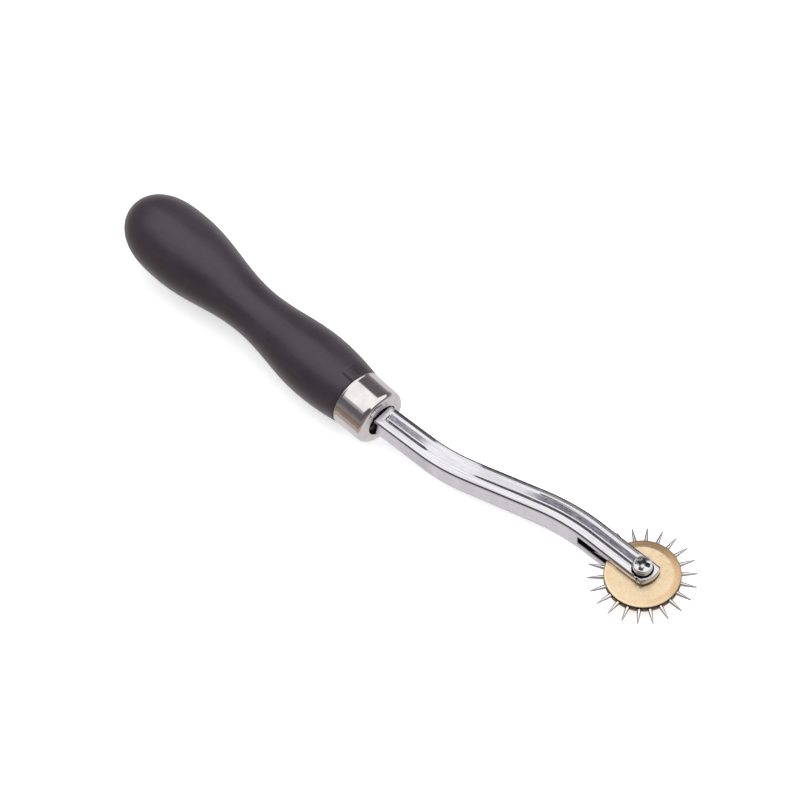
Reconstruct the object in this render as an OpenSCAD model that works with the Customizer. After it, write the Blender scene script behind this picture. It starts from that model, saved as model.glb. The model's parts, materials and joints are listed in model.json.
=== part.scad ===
// Hand tracing wheel: a turned wooden handle, a nickelled ferrule, a cranked cast arm
// with a fork, and a wheel of steel points clamped between two brass discs.
//
// Tool axes: the wheel centre is the zero point, +X runs forward along the handle's axis,
// +Y is the side that the arm is cranked towards, and +Z is the wheel's axle.
// on_bench() then lays the whole tool down the way it rests on a flat table.

/* [Wheel] */
// Number of steel points round the wheel
point_count = 22; // [20:1:24]
// Distance from one point's tip to the next, along the tip circle
point_pitch = 4; // [3.8:0.1:4.2]
// How far each point stands out of the brass discs
point_reach = 4.25; // [3.5:0.25:4.5]
// Diameter of a point's root and tail
point_d = 1.05; // [0.9:0.05:1.1]
// Thickness over both brass discs
wheel_thickness = 2.9; // [2.6:0.1:3]
// Width of the bevel round each disc's face
disc_bevel = 2.15; // [1.5:0.05:2.5]
// Turn of the wheel at rest, measured to its first point
wheel_phase = 145.2; // [0:0.1:360]

/* [Arm] */
// Width of the arm, across its channelled face
arm_width = 6.4; // [6:0.1:7]
// Thickness of the arm where it meets the ferrule
arm_rear_thickness = 6.0; // [5.5:0.1:6.2]
// Thickness of the arm at the fork
arm_front_thickness = 7.4; // [7:0.1:7.6]
// Width of the channel sunk into each broad face
channel_width = 3.0; // [2:0.1:3.4]
// Depth of that channel
channel_depth = 0.8; // [0.3:0.1:1]
// Length of the straight front part, back from the axle
front_run = 16.3; // [15:0.1:18]
// Length of the sloping middle part
middle_run = 20.2; // [16:0.1:24]
// Length of the straight rear part, to the ferrule
rear_run = 16; // [14:0.1:18]
// Angle of the front part to the handle's axis
front_angle = 2.5; // [1:0.1:4]
// Angle of the middle part to the handle's axis
middle_angle = 18.4; // [15:0.1:21]
// Angle of the rear part to the handle's axis
rear_angle = 3.6; // [2:0.1:5]
// Bend radius between the front and middle parts
front_bend_r = 60; // [50:1:70]
// Bend radius between the middle and rear parts
rear_bend_r = 50; // [45:1:60]

/* [Ferrule] */
// Length of the ferrule
ferrule_length = 9.9; // [9:0.1:12]
// Outer diameter of its rear rim
ferrule_rear_d = 16.3; // [16:0.1:17]
// Outer diameter just behind its rounded front edge
ferrule_front_d = 15.7; // [15:0.1:16]
// Diameter of the hole in its front face
ferrule_hole_d = 9.2; // [9:0.1:10]

/* [Handle] */
// Radius where the handle meets the ferrule
handle_neck_r = 8.1; // [7.8:0.1:8.4]
// Radius of the front swell
handle_swell_r = 9.45; // [9:0.05:10]
// Radius of the waist
handle_waist_r = 7.15; // [6.5:0.05:8]
// Radius of the rear bulb
handle_bulb_r = 10.9; // [10:0.1:12]
// Distance from the ferrule's rim back to the swell
swell_back = 14.3; // [12:0.1:18]
// Distance from the swell back to the waist
waist_back = 24.7; // [20:0.1:30]
// Distance from the waist back to the bulb
bulb_back = 30.5; // [25:0.1:36]
// Distance from the bulb back to the butt
butt_back = 19.3; // [16:0.1:24]

/* [Axle screw] */
// Diameter of the screw's shank, which the wheel turns on
shank_d = 3; // [2.5:0.1:3.2]
// Diameter of the screw's head
head_d = 5.0; // [4.5:0.1:5.1]
// Radial running clearance between the shank and the hub sleeve
running_clearance = 0.05; // [0.03:0.01:0.08]

/* [Hidden] */
$fn = 64;

// Wheel
tip_r = point_count * point_pitch / (2 * PI);
disc_r = tip_r - point_reach;
face_r = disc_r - disc_bevel;
face_z = wheel_thickness / 2;
rim_gap = 1.0;
rim_edge = 0.6;
relief_r = disc_r - 1.6;
point_tip_r = 0.05;
tail_gap = 0.25;
tail_root_r = point_count * (point_d + tail_gap) / (2 * PI);
groove_clearance = 0.01;
hub_r = 2.5;
hub_end_play = 0.1;
stake_r = 2.9;
stake_depth = 0.4;
function point_angle(i) = wheel_phase - (i - 1) * 360 / point_count;

// Fork
slot_width = wheel_thickness + 0.4;
slot_depth = tip_r + 5.2;
hub_length = slot_width - 2 * hub_end_play;
tip_reach = 3.55;
tip_arc_r = 5.8;
tip_arc_side = 0.8;
pocket_r = 2.75;
pocket_depth = 0.9;
far_land_r = 3.0;
channel_land = 1.5;
screw_clearance = 0.1;

// Screw
head_side = 2.95;
head_dome = 0.5;
head_seat_z = arm_front_thickness / 2 - pocket_depth;
cross_arm_length = 3.4;
cross_arm_width = 0.85;
cross_depth = 1.3;
cross_turn = 27;
screw_end_z = -arm_front_thickness / 2 + 0.2;

// The arm's centre line, taken backwards from the axle: straight, bend, straight, bend,
// straight. A bend between two angles is walked in short steps along its arc.
BEND_STEPS = 16;
function along(a, d) = [d * cos(a), d * sin(a)];
function arc_back(r, a0, a1) = [-r * (sin(a1) - sin(a0)), -r * (cos(a0) - cos(a1))];
spine_1 = -along(front_angle, front_run);
spine_2 = spine_1 + arc_back(front_bend_r, front_angle, middle_angle);
spine_3 = spine_2 - along(middle_angle, middle_run);
spine_4 = spine_3 + [
  rear_bend_r * (sin(rear_angle) - sin(middle_angle)),
  rear_bend_r * (cos(middle_angle) - cos(rear_angle))
];
shoulder = spine_4 - along(rear_angle, rear_run);
function front_bend(t) =
  let (a = front_angle + t * (middle_angle - front_angle))
  [spine_1 + arc_back(front_bend_r, front_angle, a), a];
function rear_bend(t) =
  let (a = middle_angle + t * (rear_angle - middle_angle))
  [spine_3 + [rear_bend_r * (sin(a) - sin(middle_angle)),
              rear_bend_r * (cos(middle_angle) - cos(a))], a];
spine = concat(
  [for (i = [0:BEND_STEPS]) front_bend(i / BEND_STEPS)],
  [for (i = [0:BEND_STEPS]) rear_bend(i / BEND_STEPS)]
);
function beside(station, side) = station[0] + along(station[1] + 90, side);
function edge(side) = [for (station = spine) beside(station, side)];
function reversed(points) = [for (i = [len(points) - 1:-1:0]) points[i]];

// The rounded end of both tines, from one side of the arm to the other
nose = [for (i = [6:-1:-6])
  let (v = arm_width / 2 * i / 6)
  along(front_angle, tip_reach - sqrt(pow(tip_arc_r, 2) - pow(tip_arc_side, 2))
                     + sqrt(pow(tip_arc_r, 2) - pow(v - tip_arc_side, 2)))
    + along(front_angle + 90, v)];

// Ferrule and handle, placed from the arm's shoulder
ferrule_overlap = 0.2;
ferrule_wall = 0.5;
ferrule_edge_r = 1.3;
ferrule_lip = 0.25;
face_x = shoulder[0] - ferrule_overlap;
rim_x = face_x - ferrule_length;
axis_offset = -13.9;
nose_gap = 1.4;
nose_fit = 0.03;
tang_side = 4.5;
tang_length = 33;
tang_point = 6;
tang_hole_r = 3.22;
tang_hole_depth = 36;

// Handle outline
swell_x = rim_x - swell_back;
waist_x = swell_x - waist_back;
bulb_x = waist_x - bulb_back;
butt_x = bulb_x - butt_back;
BUTT_POWER = 2.8;
OUTLINE_STEPS = 18;
swell_curve = (handle_swell_r - handle_neck_r) / pow(swell_back, 2);
function blend(a, b, t) = a + (b - a) * (1 - cos(180 * t)) / 2;
function steps(first = 0) = [for (i = [first:OUTLINE_STEPS]) i / OUTLINE_STEPS];
outline_butt = [for (t = steps())
  let (s = sin(90 * t))
  [bulb_x - butt_back * pow(cos(90 * t), 2 / BUTT_POWER), handle_bulb_r * s]];
outline_bulb = [for (t = steps(1))
  [bulb_x + t * bulb_back, blend(handle_bulb_r, handle_waist_r, t)]];
outline_waist = [for (t = steps(1))
  [waist_x + t * waist_back, blend(handle_waist_r, handle_swell_r, t)]];
outline_swell = [for (t = steps(1))
  [swell_x + t * swell_back, handle_swell_r - swell_curve * pow(t * swell_back, 2)]];
outline = concat(outline_butt, outline_bulb, outline_waist, outline_swell);

// How the tool lies: it pitches forward about the swell until the fork's nose touches.
// The resting line passes under the nose and is tangent to the swell's curve.
nose_x = max([for (p = nose) p[0]]);
nose_low = arm_front_thickness / 2;
lead_x = max([for (i = [1:point_count]) tip_r * cos(point_angle(i))]);
side_y = max([for (i = [1:point_count]) tip_r * sin(point_angle(i))]);
half_span = 2 * swell_curve * (nose_x - swell_x);
rest_drop = 4 * swell_curve * (handle_swell_r - nose_low);
pitch = atan(half_span - sqrt(pow(half_span, 2) - rest_drop));
back_x = min([for (p = outline) p[0] * cos(pitch) - p[1] * sin(pitch)]);
front_x = lead_x * cos(pitch);
left_y = axis_offset - handle_bulb_r;
low_z = -nose_x * sin(pitch) - nose_low * cos(pitch);
bench_shift = -[(back_x + front_x) / 2, (left_y + side_y) / 2, low_z];

function point_name(i) = str("point_", i < 10 ? "0" : "", i);

// Lays the tool down and centres its footprint on the zero point
module on_bench() {
  translate(bench_shift) rotate([0, pitch, 0]) children();
}

// Turns an outline of [distance along X, radius] round the handle's axis
module turned(points) {
  translate([0, axis_offset, 0]) rotate([0, 90, 0]) rotate([0, 0, 180])
    rotate_extrude() polygon([for (p = points) [p[1], p[0]]]);
}

// Turned wooden grip, with a nose for the ferrule and a hole for the arm's tang
module handle() {
  wood_end = face_x - nose_gap;
  neck_r = ferrule_rear_d / 2 - ferrule_wall - nose_fit;
  nose_r = ferrule_front_d / 2 - ferrule_wall - nose_fit;
  color([0.25, 0.23, 0.25]) difference() {
    turned(concat([[butt_x, 0]], [for (p = outline) if (p[1] > 0.001) p],
                  [[rim_x, neck_r], [wood_end, nose_r], [wood_end, 0]]));
    translate([wood_end - tang_hole_depth, axis_offset, 0]) rotate([0, 90, 0])
      cylinder(h = tang_hole_depth + 1, r = tang_hole_r);
  }
}

// Drawn metal cup over the handle's nose, with a lipped hole for the arm
module ferrule() {
  rear_r = ferrule_rear_d / 2;
  front_r = ferrule_front_d / 2;
  hole_r = ferrule_hole_d / 2;
  inner_edge_r = ferrule_edge_r - ferrule_wall;
  outer_turn = [for (t = [0:15:90])
    [face_x - ferrule_edge_r * (1 - sin(t)), front_r - ferrule_edge_r * (1 - cos(t))]];
  inner_turn = [for (t = [0:15:90])
    [face_x - ferrule_wall - inner_edge_r * (1 - sin(t)),
     front_r - ferrule_wall - inner_edge_r * (1 - cos(t))]];
  lip = [[face_x, hole_r + ferrule_wall], [face_x + ferrule_lip, hole_r + ferrule_lip],
         [face_x + ferrule_lip, hole_r], [face_x - ferrule_wall, hole_r]];
  color([0.85, 0.83, 0.83])
    turned(concat([[rim_x, rear_r]], outer_turn, lip, reversed(inner_turn),
                  [[rim_x, rear_r - ferrule_wall]]));
}

// The arm's plan outline, or that of a narrower strip along its middle
module arm_plan(width, rear, front_points) {
  half = width / 2;
  polygon(concat(
    [rear + along(rear_angle + 90, half)], reversed(edge(half)), front_points,
    edge(-half), [rear - along(rear_angle + 90, half)]));
}

// Everything between the arm's two broad faces, or between planes sunk into them
module arm_thickness(sunk) {
  rear_z = arm_rear_thickness / 2 - sunk;
  front_z = arm_front_thickness / 2 - sunk;
  run = [shoulder[0] - 1, spine_1[0], tip_reach + 1];
  rotate([90, 0, 0]) linear_extrude(height = 60, center = true)
    polygon([[run[0], rear_z], [run[1], front_z], [run[2], front_z],
             [run[2], -front_z], [run[1], -front_z], [run[0], -rear_z]]);
}

// The channel's strip, ending short of the shoulder and at a given place near the axle
module channel_strip(end) {
  half = channel_width / 2;
  front = along(front_angle, end);
  linear_extrude(height = arm_front_thickness)
    arm_plan(channel_width, shoulder + along(rear_angle, channel_land),
             [front + along(front_angle + 90, half), front - along(front_angle + 90, half)]);
}

// Cranked arm: a channelled bar with a fork at the front and a tang at the rear
module arm() {
  tall = arm_front_thickness;
  color([0.80, 0.79, 0.82]) difference() {
    union() {
      intersection() {
        linear_extrude(height = tall, center = true) arm_plan(arm_width, shoulder, nose);
        arm_thickness(0);
      }
      tang();
    }
    difference() {
      channel_strip(0);
      arm_thickness(channel_depth);
    }
    difference() {
      mirror([0, 0, 1]) channel_strip(-far_land_r - 2);
      arm_thickness(channel_depth);
    }
    rotate([0, 0, front_angle])
      translate([-slot_depth, -arm_width, -slot_width / 2])
        cube([slot_depth + tip_reach + 1, 2 * arm_width, slot_width]);
    translate([0, 0, head_seat_z]) cylinder(h = tall, r = pocket_r);
    cylinder(h = tall, r = shank_d / 2 + screw_clearance);
    translate([0, 0, -tall]) cylinder(h = tall, r = shank_d / 2);
  }
}

// Square spike that is driven into the handle
module tang() {
  half = tang_side / 2;
  tip = half / 3;
  translate([shoulder[0], axis_offset, 0]) {
    translate([-tang_length + tang_point, -half, -half])
      cube([tang_length - tang_point + 1, tang_side, tang_side]);
    intersection() {
      rotate([90, 0, 0]) linear_extrude(height = tang_side, center = true) tang_taper(half, tip);
      linear_extrude(height = tang_side, center = true) tang_taper(half, tip);
    }
  }
}

// Outline of the tang's pointed end
module tang_taper(half, tip) {
  start = -tang_length + tang_point;
  polygon([[start, half], [start, -half], [-tang_length, -tip], [-tang_length, tip]]);
}

// Pan-head screw: the wheel's axle, seated in the near tine and threaded into the far one
module axle_screw() {
  r = head_d / 2;
  top = head_seat_z + head_side + head_dome;
  dome_r = (r * r + head_dome * head_dome) / (2 * head_dome);
  dome_angle = asin(r / dome_r);
  dome = [for (i = [6:-1:1])
    let (a = dome_angle * i / 6)
    [dome_r * sin(a), top - dome_r * (1 - cos(a))]];
  color([0.80, 0.80, 0.82]) difference() {
    rotate_extrude() polygon(concat(
      [[0, screw_end_z], [shank_d / 2, screw_end_z], [shank_d / 2, head_seat_z],
       [r, head_seat_z]], dome, [[0, top]]));
    translate([0, 0, top - cross_depth]) for (turn = [0, 90])
      rotate([0, 0, cross_turn + turn])
        translate([-cross_arm_length / 2, -cross_arm_width / 2, 0])
          cube([cross_arm_length, cross_arm_width, cross_depth + 1]);
  }
}

// One brass disc, bevelled outside and grooved inside for the points' tails
module disc() {
  bore_r = hub_r + groove_clearance;
  sink_r = stake_r + groove_clearance;
  color([0.87, 0.75, 0.52]) difference() {
    rotate_extrude() polygon([
      [bore_r, 0], [relief_r, 0], [relief_r, rim_gap / 2], [disc_r, rim_gap / 2],
      [disc_r, rim_gap / 2 + rim_edge], [face_r, face_z], [sink_r, face_z],
      [bore_r, face_z - stake_depth]]);
    for (i = [1:point_count]) rotate([0, 0, point_angle(i)])
      translate([tail_root_r - groove_clearance, 0, 0]) rotate([0, 90, 0])
        cylinder(h = disc_r, r = point_d / 2 + groove_clearance);
  }
}

module front_disc() {
  disc();
}

module rear_disc() {
  mirror([0, 0, 1]) disc();
}

// Brass bush staked into both discs, which runs on the screw's shank
module hub_sleeve() {
  half = hub_length / 2;
  bore_r = shank_d / 2 + running_clearance;
  stake_z = face_z - stake_depth;
  color([0.80, 0.68, 0.45]) rotate_extrude() polygon([
    [bore_r, -half], [hub_r - 0.3, -half], [stake_r, -face_z], [hub_r, -stake_z],
    [hub_r, stake_z], [stake_r, face_z], [hub_r - 0.3, half], [bore_r, half]]);
}

// One steel point: a cone with a straight tail that the discs clamp
module point(i) {
  color([0.70, 0.68, 0.70]) rotate([0, 0, point_angle(i)]) rotate([0, 90, 0]) {
    translate([0, 0, tail_root_r]) cylinder(h = disc_r - tail_root_r, r = point_d / 2);
    translate([0, 0, disc_r]) cylinder(h = point_reach, r1 = point_d / 2, r2 = point_tip_r);
  }
}

on_bench() handle();
on_bench() ferrule();
on_bench() arm();
on_bench() axle_screw();
on_bench() front_disc();
on_bench() rear_disc();
on_bench() hub_sleeve();
for (i = [1:point_count])
  on_bench() point(i);
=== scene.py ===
import json
import math

import bmesh
import bpy
import numpy as np
from mathutils import Matrix, Vector

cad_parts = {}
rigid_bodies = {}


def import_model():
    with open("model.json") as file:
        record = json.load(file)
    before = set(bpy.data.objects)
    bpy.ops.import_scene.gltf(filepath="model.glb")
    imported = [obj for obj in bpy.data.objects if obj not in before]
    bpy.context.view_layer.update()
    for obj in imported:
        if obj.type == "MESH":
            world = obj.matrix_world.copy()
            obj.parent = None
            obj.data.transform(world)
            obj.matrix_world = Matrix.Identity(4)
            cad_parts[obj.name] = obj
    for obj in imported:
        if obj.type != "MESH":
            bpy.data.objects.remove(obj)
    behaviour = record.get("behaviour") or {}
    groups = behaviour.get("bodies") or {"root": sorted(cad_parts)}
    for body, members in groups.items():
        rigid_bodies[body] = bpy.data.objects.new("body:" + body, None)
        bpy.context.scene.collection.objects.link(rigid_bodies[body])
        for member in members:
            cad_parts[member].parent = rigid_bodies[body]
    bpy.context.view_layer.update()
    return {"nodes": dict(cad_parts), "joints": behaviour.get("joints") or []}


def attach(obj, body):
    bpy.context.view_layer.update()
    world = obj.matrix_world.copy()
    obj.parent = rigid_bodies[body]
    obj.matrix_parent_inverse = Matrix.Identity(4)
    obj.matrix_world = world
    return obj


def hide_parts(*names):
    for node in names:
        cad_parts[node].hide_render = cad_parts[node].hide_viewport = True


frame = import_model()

# The looks of the tracing wheel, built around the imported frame.
# Shapes are worked out in tool axes, in millimetres: the wheel's centre is the zero
# point, +X runs forward along the handle and +Z is the axle. TOOL carries them to the
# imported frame, in metres.

MM = 0.001
JOINT = frame["joints"][0]
HOLDER = JOINT["parent"]
WHEEL = JOINT["child"]
AXLE_DIR = Vector(JOINT["axis"]).normalized()
SIDE_DIR = Vector((0, 1, 0))
HAND_DIR = SIDE_DIR.cross(AXLE_DIR)
TOOL_TURN = Matrix((HAND_DIR, SIDE_DIR, AXLE_DIR)).transposed()
TOOL = Matrix.Translation(JOINT["pos_m"]) @ TOOL_TURN.to_4x4()


# ------------ sizes from the frame

def tool_points(thing):
    """An object's vertices in tool axes, in millimetres."""
    inverse = np.array(TOOL.inverted())
    points = np.array([v.co[:] for v in thing.data.vertices])
    return (points @ inverse[:3, :3].T + inverse[:3, 3]) / MM


CAD = frame["nodes"]
HANDLE_POINTS = tool_points(CAD["handle"])
FERRULE_POINTS = tool_points(CAD["ferrule"])
ARM_POINTS = tool_points(CAD["arm"])
SCREW_POINTS = tool_points(CAD["axle_screw"])
DISC_POINTS = tool_points(CAD["front_disc"])
BUSH_POINTS = tool_points(CAD["hub_sleeve"])
POINT_NODES = sorted(n for n in CAD if n.startswith("point_"))
FIRST_POINT = tool_points(CAD[POINT_NODES[0]])

# The handle's axis is this far to the side of the wheel's centre
AXIS_Y = (FERRULE_POINTS[:, 1].min() + FERRULE_POINTS[:, 1].max()) / 2
# Most faces stay this far inside the CAD's
SKIN = 0.02


def axis_radius(points):
    """Distance of each point from the handle's axis."""
    return np.hypot(points[:, 1] - AXIS_Y, points[:, 2])


def radial(points):
    """Distance of each point from the axle."""
    return np.hypot(points[:, 0], points[:, 1])


# Ferrule
RIM_X = FERRULE_POINTS[:, 0].min()
LIP_X = FERRULE_POINTS[:, 0].max()
LIP = 0.25
FACE_X = LIP_X - LIP
FERRULE_WALL = 0.5
FERRULE_EDGE = 1.6
FERRULE_REAR_R = axis_radius(FERRULE_POINTS).max()
FERRULE_HOLE_R = axis_radius(FERRULE_POINTS).min()
FERRULE_FRONT_R = axis_radius(FERRULE_POINTS[FERRULE_POINTS[:, 0] > FACE_X - 2 * FERRULE_EDGE]).max()

# Handle: a round butt, a bulb, a waist and a swell, up to the ferrule's rear rim
BEHIND_FERRULE = 20.0
LEAST_GRIP_R = 5.0
OUTER = HANDLE_POINTS[HANDLE_POINTS[:, 0] < RIM_X + 0.01]
OUTER_R = axis_radius(OUTER)
BUTT_X = OUTER[:, 0].min()
BULB_X = OUTER[OUTER_R.argmax(), 0]
BULB_R = OUTER_R.max()
NECK_R = OUTER_R[OUTER[:, 0] > RIM_X - 0.01].max()
WAIST_ZONE = (OUTER[:, 0] > BULB_X) & (OUTER[:, 0] < RIM_X - BEHIND_FERRULE)
WAIST_ZONE &= OUTER_R > LEAST_GRIP_R
WAIST_X = OUTER[WAIST_ZONE][OUTER_R[WAIST_ZONE].argmin(), 0]
WAIST_R = OUTER_R[WAIST_ZONE].min()
SWELL_ZONE = OUTER[:, 0] > WAIST_X
SWELL_X = OUTER[SWELL_ZONE][OUTER_R[SWELL_ZONE].argmax(), 0]
SWELL_R = OUTER_R[SWELL_ZONE].max()
WOOD_END = HANDLE_POINTS[:, 0].max()
BUTT_POWER = 2.8
TANG_HOLE_R = 3.2
TANG_HOLE_LENGTH = 35

# Wheel
DISC_R = radial(DISC_POINTS).max()
FACE_Z = DISC_POINTS[:, 2].max()
DISC_BEVEL = 2.15
BUSH_HALF = BUSH_POINTS[:, 2].max()
BUSH_R = 2.5
STAKE_R = 2.86
BUSH_BORE = radial(BUSH_POINTS).min()
RIM_INNER = 0.53
RIM_OUTER = 1.09
TIP_R = radial(FIRST_POINT).max()
TAIL_R = radial(FIRST_POINT).min() + 0.05
POINT_R = 0.55
POINT_FULLNESS = 0.76
TIP_BLUNT = 0.09

# Screw
HEAD_R = radial(SCREW_POINTS).max()
HEAD_TOP = SCREW_POINTS[:, 2].max()
SCREW_END = SCREW_POINTS[:, 2].min()
HEAD_DOME = 0.5
SHANK_R = 1.5
CROSS_LENGTH = 3.9
CROSS_WIDTH = 1.10
HEAD_CORNER = 0.38
# How dark the painted shade in the cross recess is
RECESS_SHADE = 0.72
CROSS_DEPTH = 1.3
CROSS_WALL = 0.34
CORE_R = 1.15
CORE_SOFT = 0.55
CORE_SHARE = 0.95
CROSS_TURN = math.radians(27)

# Arm: the same driving dimensions as the CAD arm has
ARM_HALF = 3.2
REAR_HALF = 3.0
FORK_REACH = 4
FRONT_HALF = ARM_POINTS[np.abs(ARM_POINTS[:, 0]) < FORK_REACH, 2].max()
FRONT_RUN = 16.3
MIDDLE_RUN = 20.2
REAR_RUN = 16.0
FRONT_ANGLE = math.radians(2.5)
MIDDLE_ANGLE = math.radians(18.4)
REAR_ANGLE = math.radians(3.6)
FRONT_BEND_R = 60.0
REAR_BEND_R = 50.0
CHANNEL_LAND = 1.5
# The channel's section: places across the arm, and how deep the face is sunk there
CHANNEL_V = [-1.24, -1.12, -0.80, -0.52, -0.32, 0.02, 0.4, 1.42, 1.88]
CHANNEL_SINK = [0, 0.02, 0.24, 0.44, 0.50, 0.51, 0.48, 0.26, 0]
RIM_CREST = 2.12
POCKET_R = 2.68
POCKET_DEPTH = 0.9
THREAD_SINK = 0.6
SINK_SOFT = 0.2
FAR_LAND = 5.0
NOSE_REACH = 3.55
NOSE_ARC = 5.8
NOSE_SIDE = 0.8
SLOT_HALF = 1.65
SLOT_START = -(TIP_R + 5.2)
TANG_HALF = 2.25
TANG_LENGTH = 33.0
TANG_POINT = 6.0

# Numbers of the arm's face groups, and the share of the full rounding that edges get
BROAD = (0, 1)
NEAR_SIDE = 2
FAR_SIDE = 4
NOSE = 5
UNDER_NOSE = 6
SHOULDER_END = 7
SLOT_END = 8
SLOT_FLOORS = ((1, 11), (-1, 9))
TANG_SIDES = 20
TANG_ENDS = [25, 26]
FAR_EDGE = 0.2
NOSE_EDGE = 0.6
SMALL_EDGE = 0.18
ARM_ROUNDING = 0.36
ROUNDING_STEPS = 4
FLAT_CHAMFER = 0.32
MERGE_DISTANCE = 0.002


# ------------ mesh helpers

def smooth(t):
    """0 below 0, 1 above 1, and an S-curve between."""
    t = np.clip(t, 0, 1)
    return t * t * (3 - 2 * t)


def piece(name, points, faces, body, node, material, groups=None):
    """Makes a mesh from points in tool axes and millimetres, and hands it to the frame."""
    mesh = bpy.data.meshes.new(name)
    mesh.from_pydata((np.asarray(points) * MM).tolist(), [], faces)
    mesh.transform(TOOL)
    work = bmesh.new()
    work.from_mesh(mesh)
    if groups is not None:
        group = work.faces.layers.int.new("group")
        for face, number in zip(work.faces, groups):
            face[group] = number
    bmesh.ops.remove_doubles(work, verts=work.verts, dist=MERGE_DISTANCE * MM)
    bmesh.ops.recalc_face_normals(work, faces=work.faces)
    if work.calc_volume(signed=True) < 0:
        bmesh.ops.reverse_faces(work, faces=work.faces)
    if groups is not None:
        weight = work.edges.layers.float.new("bevel_weight_edge")
        for edge in work.edges:
            numbers = sorted({face[group] for face in edge.link_faces})
            if len(numbers) > 1:
                edge[weight] = edge_share(*numbers[:2])
    for face in work.faces:
        face.smooth = True
    work.to_mesh(mesh)
    work.free()
    made = bpy.data.objects.new(name, mesh)
    bpy.context.scene.collection.objects.link(made)
    mesh.materials.append(material)
    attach(made, body)
    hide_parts(node)
    return made


def edge_share(low, high):
    """Share of the full rounding for the edge between two face groups of the arm."""
    if high in (NEAR_SIDE, NOSE) and low in (*BROAD, NEAR_SIDE):
        return 1.0 if high == NEAR_SIDE else NOSE_EDGE
    if low in BROAD and high == FAR_SIDE:
        return FAR_EDGE
    return SMALL_EDGE


def soften(made, width, segments):
    """Rounds the marked edges of a piece and keeps its flat faces flat."""
    bevel = made.modifiers.new("rounded edges", "BEVEL")
    bevel.width = width * MM
    bevel.segments = segments
    bevel.profile = FLAT_CHAMFER
    bevel.limit_method = "WEIGHT"
    bevel.use_clamp_overlap = False
    normals = made.modifiers.new("flat faces", "WEIGHTED_NORMAL")
    normals.keep_sharp = False
    normals.weight = 60


def store_values(made, **values):
    """Stores one number per vertex under each name, for the piece's material to read."""
    for name, numbers in values.items():
        layer = made.data.attributes.new(name, "FLOAT", "POINT")
        layer.data.foreach_set("value", np.asarray(numbers, np.float32))


def revolve(profile, segments, closed=False):
    """Points (radius across X and Y, height along Z) and faces of a turned shape.
    profile is a list of (radius, height). A radius of 0 becomes one pole vertex."""
    points = []
    rings = []
    turns = 2 * np.pi * np.arange(segments) / segments
    for radius, height in profile:
        first = len(points)
        if radius < 1e-6:
            rings.append([first] * segments)
            points.append((0.0, 0.0, height))
            continue
        rings.append(range(first, first + segments))
        points += [(radius * math.cos(turn), radius * math.sin(turn), height) for turn in turns]
    if closed:
        rings.append(rings[0])
    faces = []
    for a, b in zip(rings, rings[1:]):
        for k in range(segments):
            n = (k + 1) % segments
            # At a pole two corners are one vertex, which leaves a triangle
            faces.append(tuple(dict.fromkeys((a[k], b[k], b[n], a[n]))))
    return np.array(points), faces


def along_handle(points):
    """Turns a shape that was revolved about Z so that it lies along the handle's axis."""
    return np.c_[points[:, 2], AXIS_Y + points[:, 1], -points[:, 0]]


def arc(radius, height, size, start, end, count):
    """Profile points of an arc about (radius, height). Its angles run in degrees from the
    way the height grows towards the way the radius grows."""
    turns = np.radians(np.linspace(start, end, count))
    return [(radius + size * math.sin(t), height + size * math.cos(t)) for t in turns]


def patch(place, rows, columns, group, store):
    """Adds a grid of faces to store. place(row, column) gives a grid of points."""
    r, c = np.meshgrid(rows, columns, indexing="ij")
    grid = place(r, c).reshape(-1, 3)
    first = len(store["points"])
    store["points"].extend(grid.tolist())
    wide = len(columns)
    for i in range(len(rows) - 1):
        for j in range(wide - 1):
            a = first + i * wide + j
            store["faces"].append((a, a + 1, a + wide + 1, a + wide))
            store["groups"].append(group)


# ------------ material helpers

class Tree:
    """The node tree of a material or a world, with short calls to build it."""

    def __init__(self, owner):
        owner.use_nodes = True
        self.owner = owner
        self.nodes = owner.node_tree.nodes
        self.links = owner.node_tree.links

    def feed(self, socket, value):
        """Sets a socket to a number or a colour, or links another socket to it."""
        if isinstance(value, (int, float)) and socket.type == "RGBA":
            value = (value, value, value)
        if isinstance(value, tuple):
            socket.default_value = value + (1,)
        elif isinstance(value, (int, float)):
            socket.default_value = value
        else:
            self.links.new(value, socket)

    def node(self, kind, **inputs):
        """A new node, with the named inputs fed."""
        made = self.nodes.new("ShaderNode" + kind)
        for name, value in inputs.items():
            self.feed(made.inputs[name], value)
        return made

    def ramp(self, source, stops):
        """A colour ramp of (position, colour) stops, read at source. A number makes a grey."""
        made = self.node("ValToRGB", Fac=source)
        elements = made.color_ramp.elements
        while len(elements) < len(stops):
            elements.new(0.5)
        for element, (position, colour) in zip(elements, stops):
            grey = isinstance(colour, (int, float))
            element.position = position
            element.color = (colour,) * 3 + (1,) if grey else colour + (1,)
        return made.outputs["Color"]

    def mix(self, factor, a, b, mode="MIX"):
        """a where factor is 0 and b, or its blend with a, where factor is 1."""
        made = self.node("Mix")
        made.data_type = "RGBA"
        made.blend_type = mode
        for value, socket in ((factor, 0), (a, 6), (b, 7)):
            self.feed(made.inputs[socket], value)
        return made.outputs[2]

    def maths(self, operation, a, b=0.0, c=0.0):
        """One arithmetic step on numbers or sockets."""
        made = self.node("Math")
        made.operation = operation
        for socket, value in zip(made.inputs, (a, b, c)):
            self.feed(socket, value)
        return made.outputs[0]


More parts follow.
